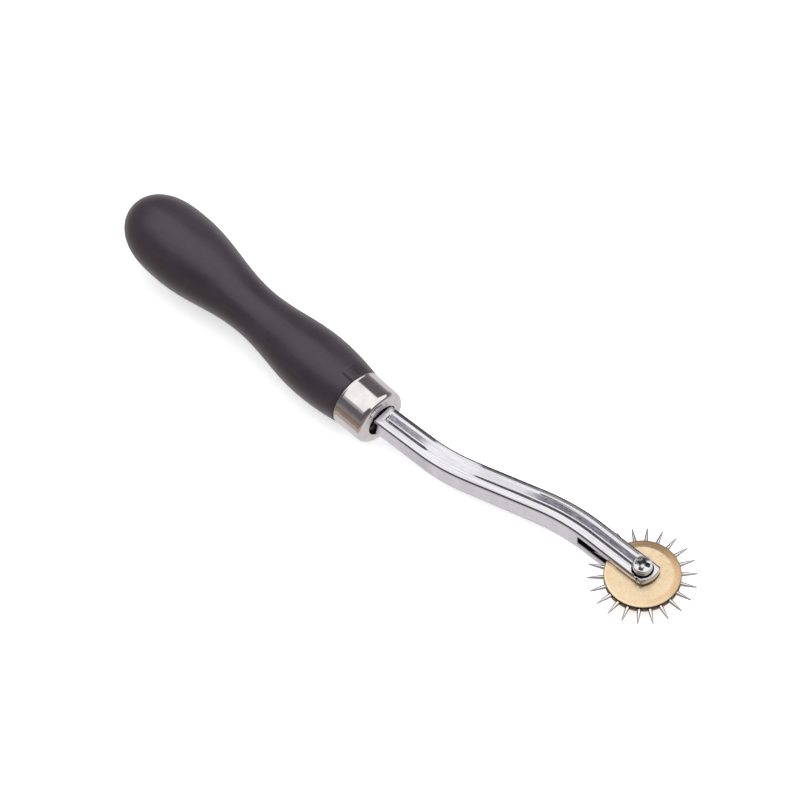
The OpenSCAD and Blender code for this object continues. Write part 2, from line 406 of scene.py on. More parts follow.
class Shader(Tree):
    """A material with a Principled shader and short calls to shape it."""

    def __init__(self, name):
        super().__init__(bpy.data.materials.new(name))
        self.main = self.nodes["Principled BSDF"]
        self.coords = self.node("TexCoord").outputs["Object"]

    def set(self, **values):
        """Sets sockets of the Principled shader. An underscore stands for a space."""
        for key, value in values.items():
            self.main.inputs[key.replace("_", " ")].default_value = value

    def link(self, source, socket):
        """Links a socket to the Principled shader's socket of that name."""
        self.links.new(source, self.main.inputs[socket])

    def stretched(self, grain, place=None):
        """A place in millimetres, or the object coordinates, divided by a grain's size."""
        sizes = grain if isinstance(grain, tuple) else (grain, grain, grain)
        unit = MM if place is None else 1
        mapping = self.node("Mapping", Vector=self.coords if place is None else place)
        mapping.inputs["Scale"].default_value = [1 / (unit * size) for size in sizes]
        return mapping.outputs["Vector"]

    def noise(self, grain, detail=3.0, roughness=0.55, distortion=0.0, place=None):
        """Noise with grains of that size in millimetres, one size or along X, Y and Z."""
        made = self.node("TexNoise", Vector=self.stretched(grain, place), Scale=1.0,
                         Detail=detail, Roughness=roughness, Distortion=distortion)
        return made.outputs["Fac"]

    def cells(self, grain):
        """Distance to the nearest of many scattered dots, spaced by grain in millimetres."""
        made = self.node("TexVoronoi", Vector=self.stretched(grain), Scale=1.0)
        return made.outputs["Distance"]

    def joined(self, x, y, z):
        """One vector from three numbers or sockets."""
        return self.node("CombineXYZ", X=x, Y=y, Z=z).outputs[0]

    def attribute(self, name):
        """The number that store_values left on the piece under that name."""
        made = self.node("Attribute")
        made.attribute_name = name
        return made.outputs["Fac"]

    def facing(self):
        """0 where the surface faces the viewer, towards 1 at its outline."""
        return self.node("LayerWeight", Blend=0.5).outputs["Facing"]

    def times(self, a, b):
        """Two colours multiplied."""
        return self.mix(1.0, a, b, "MULTIPLY")

    def bump(self, *layers):
        """Stacks (height, strength, distance in millimetres) layers of relief."""
        below = None
        for height, strength, distance in layers:
            made = self.node("Bump", Height=height, Strength=strength, Distance=distance * MM)
            if below is not None:
                self.feed(made.inputs["Normal"], below)
            below = made.outputs["Normal"]
        self.link(below, "Normal")


def lacquer():
    """Black satin lacquer over turned hardwood: closed grain, faint mottling, dust specks, and painted
    shade in the dents.
    """
    deep = (0.0270, 0.0195, 0.0265)
    light = (0.0380, 0.0285, 0.0380)
    wood = (0.050, 0.040, 0.046)
    dust = (0.16, 0.15, 0.15)
    dent_shade = (0.006, 0.004, 0.006)
    coat = 0.18
    s = Shader("black satin lacquer")
    grain = s.noise((14, 0.5, 0.5), detail=4, distortion=0.3)
    cloud = s.noise((9, 6, 6), detail=3)
    peel = s.noise(0.55, detail=2)
    tone = s.ramp(cloud, [(0.3, deep), (0.7, light)])
    tone = s.mix(s.ramp(grain, [(0.45, 0.0), (0.75, 0.35)]), tone, wood)
    specks = s.ramp(s.cells(1.9), [(0.0, 1.0), (0.055, 0.0)])
    tone = s.mix(s.times(specks, 0.5), tone, dust)
    dent = s.attribute("dent")
    # Painted shade in the dents; the rubbed place is darkened the same way, by its depth
    s.link(s.mix(dent, tone, dent_shade), "Base Color")
    s.link(s.ramp(cloud, [(0.25, 0.36), (0.75, 0.44)]), "Roughness")
    s.link(s.maths("MULTIPLY_ADD", dent, -0.35, 0.5), "Specular IOR Level")
    s.link(s.maths("MULTIPLY_ADD", dent, -coat, coat), "Coat Weight")
    s.set(Coat_Roughness=0.28)
    s.bump((grain, 0.10, 0.05), (peel, 0.05, 0.03), (specks, 0.3, 0.04))
    return s.owner


def nickel(name, tint, low, high, scratch):
    """Bright plating: cloudy roughness, fine scratches, satin and painted shade where marked."""
    dark = tuple(0.86 * value for value in tint)
    shade_tone = (0.05, 0.045, 0.045)
    satin_rough = 0.30
    s = Shader(name)
    cloud = s.noise(2.2, detail=4)
    lines = s.noise(scratch, detail=3, roughness=0.7)
    tone = s.mix(s.ramp(cloud, [(0.3, 0.0), (0.75, 1.0)]), tint, dark)
    # Painted shade, where the piece marks it
    s.link(s.mix(s.attribute("grime"), tone, shade_tone), "Base Color")
    rough = s.ramp(cloud, [(0.25, low), (0.8, high)])
    s.link(s.mix(s.attribute("satin"), rough, satin_rough), "Roughness")
    s.set(Metallic=1.0)
    s.bump((lines, 0.10, 0.02))
    return s.owner


def cast_plate():
    """Plated casting: bright streaked rims, a dappled dull channel, painted shade in its recesses,
    painted dark lines along its edges and a painted brown patch by the screw.
    """
    plate = (0.80, 0.79, 0.815)
    drawn = (0.61, 0.595, 0.64)
    clouded = (0.62, 0.61, 0.65)
    dull_light = (0.42, 0.405, 0.465)
    dull_dark = (0.17, 0.16, 0.20)
    pit = (0.10, 0.09, 0.12)
    painted_edge_shade = (0.07, 0.065, 0.075)
    rust = (0.17, 0.115, 0.08)
    shade_tone = (0.045, 0.034, 0.030)
    shade_rough = 0.6
    s = Shader("plated casting")
    sunk = s.attribute("sunk")
    grime = s.attribute("grime")
    place = s.joined(s.attribute("back"), s.attribute("across"), 0.0)
    line = s.noise((14.0, 0.42, 1.0), detail=3, roughness=0.6, place=place)
    streak = s.noise((3.0, 0.24, 1.0), detail=4, roughness=0.65, place=place)
    dapple = s.noise((0.9, 0.5, 1.0), detail=4, roughness=0.7, place=place)
    fine = s.noise((2.5, 0.10, 1.0), detail=2, place=place)
    cloud = s.noise(1.3, detail=4, roughness=0.65)
    bright = s.mix(s.ramp(line, [(0.42, 0.0), (0.66, 1.0)]), plate, drawn)
    bright = s.mix(s.ramp(cloud, [(0.45, 0.0), (0.8, 0.6)]), bright, clouded)
    dull = s.mix(s.ramp(streak, [(0.40, 0.0), (0.60, 1.0)]), dull_light, dull_dark)
    dull = s.mix(s.ramp(dapple, [(0.52, 0.0), (0.62, 0.8)]), dull, pit)
    # The floor is darker from 28 mm behind the axle forward, and lighter from 40 mm back
    ahead = s.ramp(s.maths("MULTIPLY", s.attribute("back"), 0.01), [(0.28, 0.72), (0.40, 0.92)])
    tone = s.mix(sunk, bright, s.times(dull, ahead))
    # Painted dark reflection along the arm's edges and at the nose's near corner
    tone = s.mix(s.attribute("edge"), tone, painted_edge_shade)
    # Painted brown shade by the screw, in the rust colour where marked as stain
    tone = s.mix(s.attribute("stain"), tone, rust)
    # Painted shade where marked: in the slot between the tines and in the pocket round the screw
    s.link(s.mix(grime, tone, shade_tone), "Base Color")
    shine = s.ramp(cloud, [(0.25, 0.09), (0.8, 0.17)])
    rough = s.mix(sunk, shine, s.ramp(dapple, [(0.3, 0.20), (0.7, 0.34)]))
    s.link(s.mix(grime, rough, shade_rough), "Roughness")
    s.link(s.maths("MULTIPLY_ADD", s.attribute("land"), -0.7, 1.0), "Metallic")
    s.bump((s.mix(sunk, 0.5, dapple), 0.35, 0.06), (fine, 0.05, 0.02))
    return s.owner


def brass(name, light, deep):
    """Turned satin brass: rings of tool marks, soft stained clouds, painted shade on the far side of
    the bevel, inside the discs and at the front rim, a painted highlight on the near lip, and rust
    where marked.
    """
    stained = tuple(0.6 * value for value in deep)
    worn = tuple(min(1.0, 1.12 * value) for value in light)
    tarnish_tint = (0.84, 0.65, 0.49)
    tarnish_rough = 0.36
    rust_light = (0.34, 0.22, 0.165)
    rust_dark = (0.20, 0.125, 0.09)
    shade_tone = (0.030, 0.020, 0.014)
    shade_rough = 0.6
    s = Shader(name)
    grime = s.attribute("grime")
    rust = s.attribute("rust")
    tarnish = s.attribute("tarnish")
    cloud = s.noise(2.6, detail=5, roughness=0.6)
    stain = s.noise(0.8, detail=3)
    drift = s.maths("MULTIPLY", cloud, 5.0)
    wave = s.maths("SINE", s.maths("MULTIPLY_ADD", s.attribute("radius"), 19.0, drift))
    marks = s.maths("MULTIPLY_ADD", wave, 0.5, 0.5)
    tone = s.mix(s.ramp(cloud, [(0.35, 0.0), (0.70, 1.0)]), light, deep)
    tone = s.mix(s.ramp(stain, [(0.58, 0.0), (0.80, 0.35)]), tone, stained)
    tone = s.mix(s.ramp(marks, [(0.0, 0.0), (1.0, 0.18)]), tone, deep)
    # Painted shade on the far side of the bevel, and a painted highlight on the near side's lip
    tone = s.mix(tarnish, tone, s.times(tone, tarnish_tint))
    tone = s.mix(s.attribute("worn"), tone, worn)
    tone = s.mix(rust, tone, s.ramp(stain, [(0.35, rust_light), (0.65, rust_dark)]))
    # Painted shade where marked: between the discs, at the front disc's rim and on the shaded rim edge
    s.link(s.mix(grime, tone, shade_tone), "Base Color")
    rough = s.ramp(stain, [(0.3, 0.17), (0.75, 0.27)])
    rough = s.mix(tarnish, rough, tarnish_rough)
    s.link(s.mix(s.maths("MAXIMUM", grime, rust), rough, shade_rough), "Roughness")
    s.link(s.maths("MULTIPLY_ADD", rust, -0.85, 0.9), "Metallic")
    s.bump((marks, 0.10, 0.02), (stain, 0.08, 0.03))
    return s.owner


def point_steel():
    """Ground steel: a fine grain, an uneven polish, painted shade on the flanks and a darker tip."""
    polished = (0.93, 0.90, 0.90)
    clouded = (0.80, 0.76, 0.76)
    tip_dark = (0.26, 0.22, 0.22)
    painted_flank_shade = (0.095, 0.07, 0.07)
    s = Shader("ground steel")
    cloud = s.noise(0.7, detail=3)
    tone = s.mix(s.ramp(cloud, [(0.3, 0.0), (0.7, 1.0)]), polished, clouded)
    tone = s.mix(s.ramp(s.attribute("tip"), [(0.35, 0.0), (0.95, 0.75)]), tone, tip_dark)
    # Known fault: this is painted shade on the flanks, and its colour follows the viewer, so it slides
    # in other views and in the export
    flank = s.ramp(s.facing(), [(0.18, 0.0), (0.42, 1.0)])
    s.link(s.mix(flank, tone, painted_flank_shade), "Base Color")
    s.link(s.ramp(cloud, [(0.3, 0.10), (0.7, 0.18)]), "Roughness")
    s.set(Metallic=1.0)
    s.bump((s.noise(0.12, detail=2), 0.10, 0.02))
    return s.owner


def paper(name, low, high, glow):
    """Matt paper under the tool, lit through from below like a light table."""
    s = Shader(name)
    cloud = s.noise(30, detail=2)
    s.link(s.ramp(cloud, [(0.3, low), (0.7, high)]), "Base Color")
    s.set(Roughness=0.9, Specular_IOR_Level=0.1)
    s.set(Emission_Color=(1, 1, 1, 1), Emission_Strength=glow)
    return s.owner


# ------------ handle and ferrule

def wood_radius(x):
    """Radius of the grip at each x: round butt, bulb, waist, swell."""
    x = np.asarray(x, float)
    back = np.clip((BULB_X - x) / (BULB_X - BUTT_X), 0, 1)
    butt = BULB_R * np.sqrt(np.clip(1 - back ** BUTT_POWER, 0, 1))
    to_waist = np.clip((x - BULB_X) / (WAIST_X - BULB_X), 0, 1)
    bulb = BULB_R + (WAIST_R - BULB_R) * (1 - np.cos(math.pi * to_waist)) / 2
    to_swell = np.clip((x - WAIST_X) / (SWELL_X - WAIST_X), 0, 1)
    waist = WAIST_R + (SWELL_R - WAIST_R) * (1 - np.cos(math.pi * to_swell)) / 2
    curve = (SWELL_R - NECK_R) / (RIM_X - SWELL_X) ** 2
    swell = SWELL_R - curve * (x - SWELL_X) ** 2
    return np.where(x < BULB_X, butt, np.where(x < WAIST_X, bulb, np.where(x < SWELL_X, waist, swell)))


# Short dents that the ferrule's fitting left in the wood, and a rubbed place beside them:
# (start x, end x, angle, depth, half width). The angle is from the top towards +Y, in degrees.
DENTS = [
    (-3.4, 0.4, -3.6, 0.12, 0.17),
    (-2.6, -0.9, 17.6, 0.07, 0.22),
    (-2.5, -1.7, 33.8, 0.08, 0.22),
    (-1.4, -0.5, 38.5, 0.06, 0.20),
    (-2.2, -1.2, 8.0, 0.03, 0.22),
    (-3.6, -0.4, 24.0, 0.025, 1.7),
]
# Depth at which a dent's painted shade is full
FULL_DENT = 0.1
DENT_END = 0.35


def dent_depth(x, turn):
    """How deep the dents are at each x and angle about the grip."""
    total = np.zeros_like(x)
    for start, end, angle, depth, half_width in DENTS:
        across = (np.degrees(turn) - angle + 180) % 360 - 180
        across = np.radians(across) * NECK_R / half_width
        past = np.maximum(RIM_X + start - x, x - RIM_X - end)
        ends = smooth(1 - past / DENT_END)
        total = np.maximum(total, depth * np.exp(-across ** 2) * ends)
    return total


def make_handle(material):
    """The grip: butt to neck, a fine rounded shoulder, then the nose inside the ferrule."""
    step = 0.8
    fine_step = 0.15
    dented = 5.0
    shoulder = 0.32
    gap = 0.03
    chamfer = 0.4
    turns = np.linspace(0, 90, 40)
    x = list(BULB_X - (BULB_X - BUTT_X) * np.cos(np.radians(turns)) ** (2 / BUTT_POWER))
    x += list(np.arange(BULB_X + step, RIM_X - dented, step))
    x += list(np.arange(RIM_X - dented, RIM_X - 0.35, fine_step))
    profile = [(float(r), v) for v, r in zip(x, wood_radius(x))]
    profile[0] = (0.0, BUTT_X)
    profile += arc(NECK_R - shoulder, RIM_X - shoulder, shoulder, 90, 0, 6)
    inner_r = FERRULE_REAR_R - FERRULE_WALL - gap
    nose_r = FERRULE_FRONT_R - FERRULE_WALL - gap
    profile += [(inner_r, RIM_X), (nose_r, WOOD_END - chamfer), (nose_r - chamfer, WOOD_END),
                (TANG_HOLE_R + 0.3, WOOD_END), (TANG_HOLE_R, WOOD_END - 0.3),
                (TANG_HOLE_R, WOOD_END - TANG_HOLE_LENGTH), (0.0, WOOD_END - TANG_HOLE_LENGTH)]
    points, faces = revolve(profile, 288)
    radius = np.hypot(points[:, 0], points[:, 1])
    outer = (points[:, 2] < RIM_X + 0.01) & (radius > inner_r + SKIN)
    # revolve's X becomes the tool's -Z, so the angle from the top towards +Y is:
    turn = np.arctan2(points[:, 1], -points[:, 0])
    sunk = np.where(outer, dent_depth(points[:, 2], turn), 0)
    # Faint waves from the turning, which fade out at the butt and at the neck
    wave = 0.012 * np.sin(points[:, 2] * 1.9) + 0.008 * np.sin(points[:, 2] * 4.7 + 1)
    calm = smooth((points[:, 2] - BUTT_X) / 6) * smooth((RIM_X - 1 - points[:, 2]) / 3)
    shrink = 1 - np.where(outer, sunk + SKIN - wave * calm, 0) / np.maximum(radius, 0.5)
    points[:, :2] *= shrink[:, None]
    made = piece("wooden_handle", along_handle(points), faces, HOLDER,
                 "handle", material)
    placed = tool_points(made)
    turn = np.arctan2(placed[:, 1] - AXIS_Y, placed[:, 2])
    # The dents' depth, which the lacquer paints as shade
    store_values(made, dent=np.minimum(1, dent_depth(placed[:, 0], turn) / FULL_DENT))
    return made


FERRULE_BEAD = 0.35
FERRULE_LIP_R = 0.24
# A nick in the hole's lip: its angle from the top in degrees, its spread and its depth
NICK_TURN = -36.0
NICK_SPREAD = 2.6
NICK_DEPTH = 0.3


def make_ferrule(material):
    """Drawn cup: beaded rear rim, slight taper, rounded front edge, rolled hole lip."""
    bead = FERRULE_BEAD
    taper = (FERRULE_FRONT_R - FERRULE_REAR_R) / (FACE_X - RIM_X)
    neck_x = RIM_X + 2 * bead
    neck_r = FERRULE_REAR_R + taper * 2 * bead - 0.10
    body_x = neck_x + 0.25
    body_r = neck_r + 0.01
    edge_x = FACE_X - FERRULE_EDGE
    edge_r = FERRULE_FRONT_R - FERRULE_EDGE
    profile = [(FERRULE_REAR_R - FERRULE_WALL, RIM_X), (FERRULE_REAR_R - bead, RIM_X)]
    profile += arc(FERRULE_REAR_R - bead, RIM_X + bead, bead, 165, 90, 6)
    profile += [(FERRULE_REAR_R - 0.05, RIM_X + 1.6 * bead), (neck_r, neck_x), (body_r, body_x)]
    profile += [(body_r + (FERRULE_FRONT_R - body_r) * t, body_x + (edge_x - body_x) * t)
                for t in (0.1, 0.35, 0.65, 0.9)]
    profile += arc(edge_r, edge_x, FERRULE_EDGE, 90, 4, 12)
    profile += [(FERRULE_HOLE_R + 1.2, FACE_X), (FERRULE_HOLE_R + 0.62, FACE_X + 0.01),
                (FERRULE_HOLE_R + 0.46, FACE_X + 0.06)]
    profile += arc(FERRULE_HOLE_R + FERRULE_LIP_R, LIP_X - FERRULE_LIP_R, FERRULE_LIP_R, 40, -90, 9)
    profile += [(FERRULE_HOLE_R + 0.02, FACE_X - FERRULE_WALL)]
    profile += arc(edge_r, edge_x, FERRULE_EDGE - FERRULE_WALL, 0, 90, 6)
    points, faces = revolve(profile, 288, closed=True)
    # A nick in the lip, where the punch tore it
    top_turn = np.degrees(np.arctan2(points[:, 1], -points[:, 0]))
    away = np.hypot(points[:, 0], points[:, 1])
    nick = np.exp(-((top_turn - NICK_TURN) / NICK_SPREAD) ** 2)
    nick *= smooth((FERRULE_HOLE_R + 1.5 - away) / 0.5) * (points[:, 2] > FACE_X - 0.3)
    points[:, 2] -= NICK_DEPTH * nick
    # Drawn cups aren't perfectly round: a slow wobble of a few hundredths
    turn = np.arctan2(points[:, 1], points[:, 0])
    wobble = 1 - 0.0012 * (1 + np.sin(2 * turn + 0.6)) - 0.0006 * (1 + np.sin(5 * turn))
    points[:, :2] *= wobble[:, None]
    made = piece("nickel_ferrule", along_handle(points), faces, HOLDER,
                 "ferrule", material)
    placed = tool_points(made)
    away = axis_radius(placed)
    behind_face = placed[:, 0] < FACE_X - 0.2
    # Painted shade inside the hole behind the face
    store_values(made, grime=behind_face & (away < FERRULE_HOLE_R + 0.3),
                 satin=(placed[:, 0] > FACE_X - 0.2) & (away < FERRULE_HOLE_R + 1.3))
    return made


# ------------ arm

BEND_1 = FRONT_BEND_R * (MIDDLE_ANGLE - FRONT_ANGLE)
BEND_2 = REAR_BEND_R * (MIDDLE_ANGLE - REAR_ANGLE)
BREAKS = np.cumsum([0, FRONT_RUN, BEND_1, MIDDLE_RUN, BEND_2, REAR_RUN])
ANGLES = [FRONT_ANGLE, FRONT_ANGLE, MIDDLE_ANGLE, MIDDLE_ANGLE, REAR_ANGLE, REAR_ANGLE]
FRONT_X = -FRONT_RUN * math.cos(FRONT_ANGLE)
# The centre line in many short steps, from the axle back to the shoulder
FINE = np.linspace(0, BREAKS[-1], 6000)
FINE_ANGLE = np.interp(FINE, BREAKS, ANGLES)
FINE_STEP = FINE[1] - FINE[0]
HALF_ANGLE = (FINE_ANGLE[1:] + FINE_ANGLE[:-1]) / 2
FINE_X = np.r_[0, -np.cumsum(np.cos(HALF_ANGLE)) * FINE_STEP]
FINE_Y = np.r_[0, -np.cumsum(np.sin(HALF_ANGLE)) * FINE_STEP]
SHOULDER = -BREAKS[-1]
SHOULDER_X = FINE_X[-1]


def spine(s):
    """Centre line at distance s in front of the axle (negative is back): x, y, angle."""
    back = np.clip(-s, 0, BREAKS[-1])
    ahead = np.maximum(s, 0)
    x = np.interp(back, FINE, FINE_X) + ahead * math.cos(FRONT_ANGLE)
    y = np.interp(back, FINE, FINE_Y) + ahead * math.sin(FRONT_ANGLE)
    return x, y, np.interp(back, BREAKS, ANGLES)


def half_at(x):
    """Half the arm's thickness at x: it thickens evenly from the ferrule to the fork."""
    return np.interp(x, [SHOULDER_X - 1, FRONT_X], [REAR_HALF, FRONT_HALF])


def half_thickness(s):
    return half_at(spine(s)[0])


def warp(s, v):
    """Bows the rows in front of the axle so that the last one is the rounded nose."""
    nose = NOSE_REACH - math.sqrt(NOSE_ARC ** 2 - NOSE_SIDE ** 2)
    nose = nose + np.sqrt(NOSE_ARC ** 2 - (v - NOSE_SIDE) ** 2)
    return np.where(s > 0, s * nose / NOSE_REACH, s)


def arm_place(s, v, z):
    """Points at distance s in front of the axle, v across the arm and z up."""
    x, y, angle = spine(warp(s, v))
    return np.stack([x - v * np.sin(angle), y + v * np.cos(angle), z + 0 * x], -1)


# How deep the casting's relief is, by distance back from the axle: polished away at the bend
RELIEF_AT = [0, 33, 38, 49, 53, 63, 66, 69.5, 83]
RELIEF = [1, 1, 0.3, 0.2, 0.05, 0.05, 0.12, 0.9, 1]


def relief(s):
    """Share of the relief's full depth that is left at s."""
    return np.interp(-s, RELIEF_AT, RELIEF)


def channel(s, v, end):
    """Depth of the channel: its walls, and soft ends at the shoulder and at end."""
    start = smooth((s - SHOULDER - CHANNEL_LAND) / 0.5)
    across = np.interp(v, CHANNEL_V, CHANNEL_SINK)
    return across * start * smooth((end - s) / 0.6) * relief(s)


def round_sink(s, v, radius, depth):
    """Depth of a round, flat-floored sink about the axle."""
    away = np.hypot(warp(s, v), v)
    return depth * smooth((radius + SINK_SOFT / 2 - away) / SINK_SOFT)


def sunk_depth(s, v, top):
    """How far the face is sunk below the rims, on the top or on the underside."""
    if top:
        return np.maximum(channel(s, v, 0.0), round_sink(s, v, POCKET_R, POCKET_DEPTH))
    return np.maximum(channel(s, v, -FAR_LAND), round_sink(s, v, SHANK_R + 0.08, THREAD_SINK))


# How steeply the outer half of each rim falls away, by distance back from the axle
RIM_FALL_AT = [0, 4, 33, 38, 50, 54.5, 62.5, 67, 83]
RIM_FALL = [0, 0.082, 0.082, 0.095, 0.10, 0.01, 0.01, 0.11, 0.11]


def rim_drop(s, v):
    """The outer half of each rim falls away a little, as a polished casting does."""
    past = np.clip(np.abs(v), RIM_CREST, ARM_HALF) - RIM_CREST
    return past * np.interp(-s, RIM_FALL_AT, RIM_FALL)


def arm_rows():
    """Places of the rows along the arm, close together where the shape needs it."""
    rear = SHOULDER + CHANNEL_LAND
    rows = [SHOULDER, SHOULDER + 0.35]
    rows += list(np.arange(SHOULDER + 0.9, rear - 0.3, 0.45))
    rows += list(np.arange(rear - 0.1, rear + 0.8, 0.1))
    rows += list(np.arange(rear + 1.2, SLOT_START - 0.5, 0.6))
    rows += [SLOT_START - 0.35, SLOT_START, SLOT_START + 0.35]
    rows += list(np.arange(SLOT_START + 0.9, -FAR_LAND - 1.0, 0.6))
    rows += list(np.arange(-FAR_LAND - 0.8, -3.2, 0.15))
    rows += list(np.arange(-3.1, NOSE_REACH - 0.34, 0.1))
    rows += [NOSE_REACH - 0.3, NOSE_REACH]
    return np.array(rows)


def arm_columns():
    """Places of the columns across the arm, closest together at the far edge's dark band."""
    middle = np.linspace(-RIM_CREST, RIM_CREST, 58)
    near = [-ARM_HALF, -2.7, -2.5, -2.3]
    far = [2.25, 2.4, 2.55, 2.68, 2.8, 2.92, 3.04, ARM_HALF]
    return np.r_[near, middle, far]


def make_arm(material):
    """Cranked bar with a channel in both broad faces, a slotted fork and a tang."""
    rows = arm_rows()
    columns = arm_columns()
    fork = rows[rows >= SLOT_START - 1e-6]
    bar = rows[rows <= SLOT_START + 1e-6]
    store = {"points": [], "faces": [], "groups": []}

    def face(top):
        sign = 1 if top else -1

        def place(s, v):
            z = half_thickness(s) - sunk_depth(s, v, top) - SKIN
            return arm_place(s, v, sign * (z - rim_drop(s, v)))
        return place

    def edge_z(s, v, t, low, high):
        """z between low and high, where 1 and -1 stand for the two broad faces."""
        half = half_thickness(s) - SKIN - rim_drop(s, v)
        z0 = half * low if abs(low) == 1 else low
        z1 = half * high if abs(high) == 1 else high
        return z0 + (z1 - z0) * t

    def wall(side, low, high):
        return lambda s, t: arm_place(s, side * ARM_HALF + 0 * s,
                                      edge_z(s, ARM_HALF, t, low, high))

    def end(at, low, high):
        return lambda t, v: arm_place(at + 0 * v, v, edge_z(at + 0 * v, v, t, low, high))

    layers = ((SLOT_HALF, 1), (-SLOT_HALF, SLOT_HALF), (-1, -SLOT_HALF))
    top, middle, under = layers
    steps = np.array([0, 0.5, 1.0])
    patch(face(True), rows, columns, BROAD[0], store)
    patch(face(False), rows, columns, BROAD[1], store)
    for side, group in ((1, FAR_SIDE), (-1, NEAR_SIDE)):
        patch(wall(side, *top), rows, steps, group, store)
        patch(wall(side, *under), rows, steps, group, store)
        patch(wall(side, *middle), bar, steps, group, store)
    patch(end(NOSE_REACH, *top), steps, columns, NOSE, store)
    patch(end(NOSE_REACH, *under), steps, columns, UNDER_NOSE, store)
    for layer in layers:
        patch(end(SHOULDER, *layer), steps, columns, SHOULDER_END, store)
    patch(end(SLOT_START, *middle), steps, columns, SLOT_END, store)
    for sign, group in SLOT_FLOORS:
        patch(lambda s, v: arm_place(s, v, sign * SLOT_HALF + 0 * s), fork, columns, group,
              store)
    add_tang(store)
    made = piece("cast_arm", store["points"], store["faces"], HOLDER, "arm",
                 material, store["groups"])
    mark_arm(made)
    soften(made, ARM_ROUNDING, ROUNDING_STEPS)
    return made


def add_tang(store):
    """A square spike behind the shoulder, which ends in a blunt point inside the wood."""
    start = SHOULDER_X + 0.05
    stations = [(start, TANG_HALF), (start - TANG_LENGTH + TANG_POINT, TANG_HALF),
                (start - TANG_LENGTH, TANG_HALF / 3)]
    corners = [(1, 1), (-1, 1), (-1, -1), (1, -1)]
    first = len(store["points"])
    for x, half in stations:
        store["points"].extend([(x, AXIS_Y + a * half, b * half) for a, b in corners])
    for ring in range(len(stations) - 1):
        for k in range(4):
            a = first + 4 * ring + k
            b = first + 4 * ring + (k + 1) % 4
            store["faces"].append((a, b, b + 4, a + 4))
            store["groups"].append(TANG_SIDES + k)
    last = first + 4 * (len(stations) - 1)
    store["faces"].append((first, first + 1, first + 2, first + 3))
    store["faces"].append((last, last + 1, last + 2, last + 3))
    store["groups"].extend(TANG_ENDS)


# The channel's dull floor lies between these places across the arm
FLOOR_FROM = -0.04
FLOOR_TO = 1.56
# Where the painted dark band along the far edge starts, by distance back from the axle.
# The band is a painted reflection of the dark room in the edge's slope
FAR_BAND_AT = [0, 12, 18, 33, 38, 50, 54, 63, 67, 83]
FAR_BAND = [2.86, 2.86, 2.80, 2.78, 2.72, 2.70, 2.74, 2.76, 2.45, 2.45]
FAR_DARK = [1.0, 1.0, 1.0, 0.95, 0.85, 0.85, 1.0, 1.0, 0.45, 0.45]
# How dark the painted lines along the near edge and at the nose's near corner are
NEAR_DARK = 0.72
CORNER_DARK = 0.8
# A painted brown patch of shade between the channel's end and the screw: place along and across, and
# its spread
PATCH_BACK = 3.1
PATCH_ACROSS = 0.8
PATCH_LENGTH = 0.55
PATCH_WIDTH = 0.6


def mark_arm(made):
    """Stores, for the material, the channel's floor, painted dark lines at the edges, painted shade in
    the slot and the pocket, a painted brown patch by the screw, and the length.
    """
    points = tool_points(made)
    half = half_at(points[:, 0])
    height = np.abs(points[:, 2])
    back = np.interp(-points[:, 0], -FINE_X, FINE)
    middle = np.interp(-points[:, 0], -FINE_X, FINE_Y)
    angle = np.interp(back, BREAKS, ANGLES)
    across = (points[:, 1] - middle) * np.cos(angle)
    on_face = height > half - 0.3
    outside = height > SLOT_HALF + 0.25
    floor = smooth((across - FLOOR_FROM) / 0.2) * smooth((FLOOR_TO - across) / 0.15)
    ends = smooth((-SHOULDER - CHANNEL_LAND - 0.1 - back) / 0.4) * (back > 0)
    # Painted shade in the pocket round the screw head and in the slot between the tines
    pocket = (radial(points) < POCKET_R + 0.03) & (height < half - 0.4) & outside
    slot = (np.abs(across) < ARM_HALF - 0.05) & (height < SLOT_HALF + 0.02)
    # Painted dark lines along both edges and at the nose's near corner, in place of reflected shade
    near_edge = across < 0.05 - ARM_HALF
    far = smooth((across - np.interp(back, FAR_BAND_AT, FAR_BAND)) / 0.12)
    far = far * np.interp(back, FAR_BAND_AT, FAR_DARK)
    edges = np.maximum(near_edge * NEAR_DARK * (back > 0), far) * on_face
    corner = (points[:, 0] > 0.5) & near_edge & (height > SLOT_HALF)
    # Painted brown shade between the channel's end and the screw
    along = (back - PATCH_BACK) / PATCH_LENGTH
    aside = (across - PATCH_ACROSS) / PATCH_WIDTH
    store_values(made, sunk=floor * ends * outside * relief(-back) ** 1.3,
                 grime=np.maximum(slot * (back < 0.05 - SLOT_START), pocket),
                 edge=np.maximum(edges, corner * CORNER_DARK),
                 land=(back > -SHOULDER - CHANNEL_LAND) & on_face,
                 stain=np.exp(-along ** 2 - aside ** 2) * outside, back=back, across=across)


# ------------ screw

def dome_height(r):
    """Height of the head's domed top above the head's edge."""
    return HEAD_DOME * (1 - (r / HEAD_R) ** 2.3)


def cross_depth(x, y):
    """Depth of the tapered cross recess at a place on the head."""
    c, s = math.cos(CROSS_TURN), math.sin(CROSS_TURN)
    a, b = c * x + s * y, -s * x + c * y
    depth = np.zeros_like(a)
    for u, v in ((a, b), (b, a)):
        reach = np.clip(1 - np.abs(u) / (CROSS_LENGTH / 2), 0, 1)
        wall = smooth((CROSS_WIDTH / 2 + 0.12 - np.abs(v)) / CROSS_WALL)
        depth = np.maximum(depth, CROSS_DEPTH * np.minimum(1, 0.22 + 1.25 * reach) * wall
                           * smooth(reach / 0.08))
    core = smooth((CORE_R - np.hypot(a, b)) / CORE_SOFT)
    return np.maximum(depth, CORE_SHARE * CROSS_DEPTH * core)


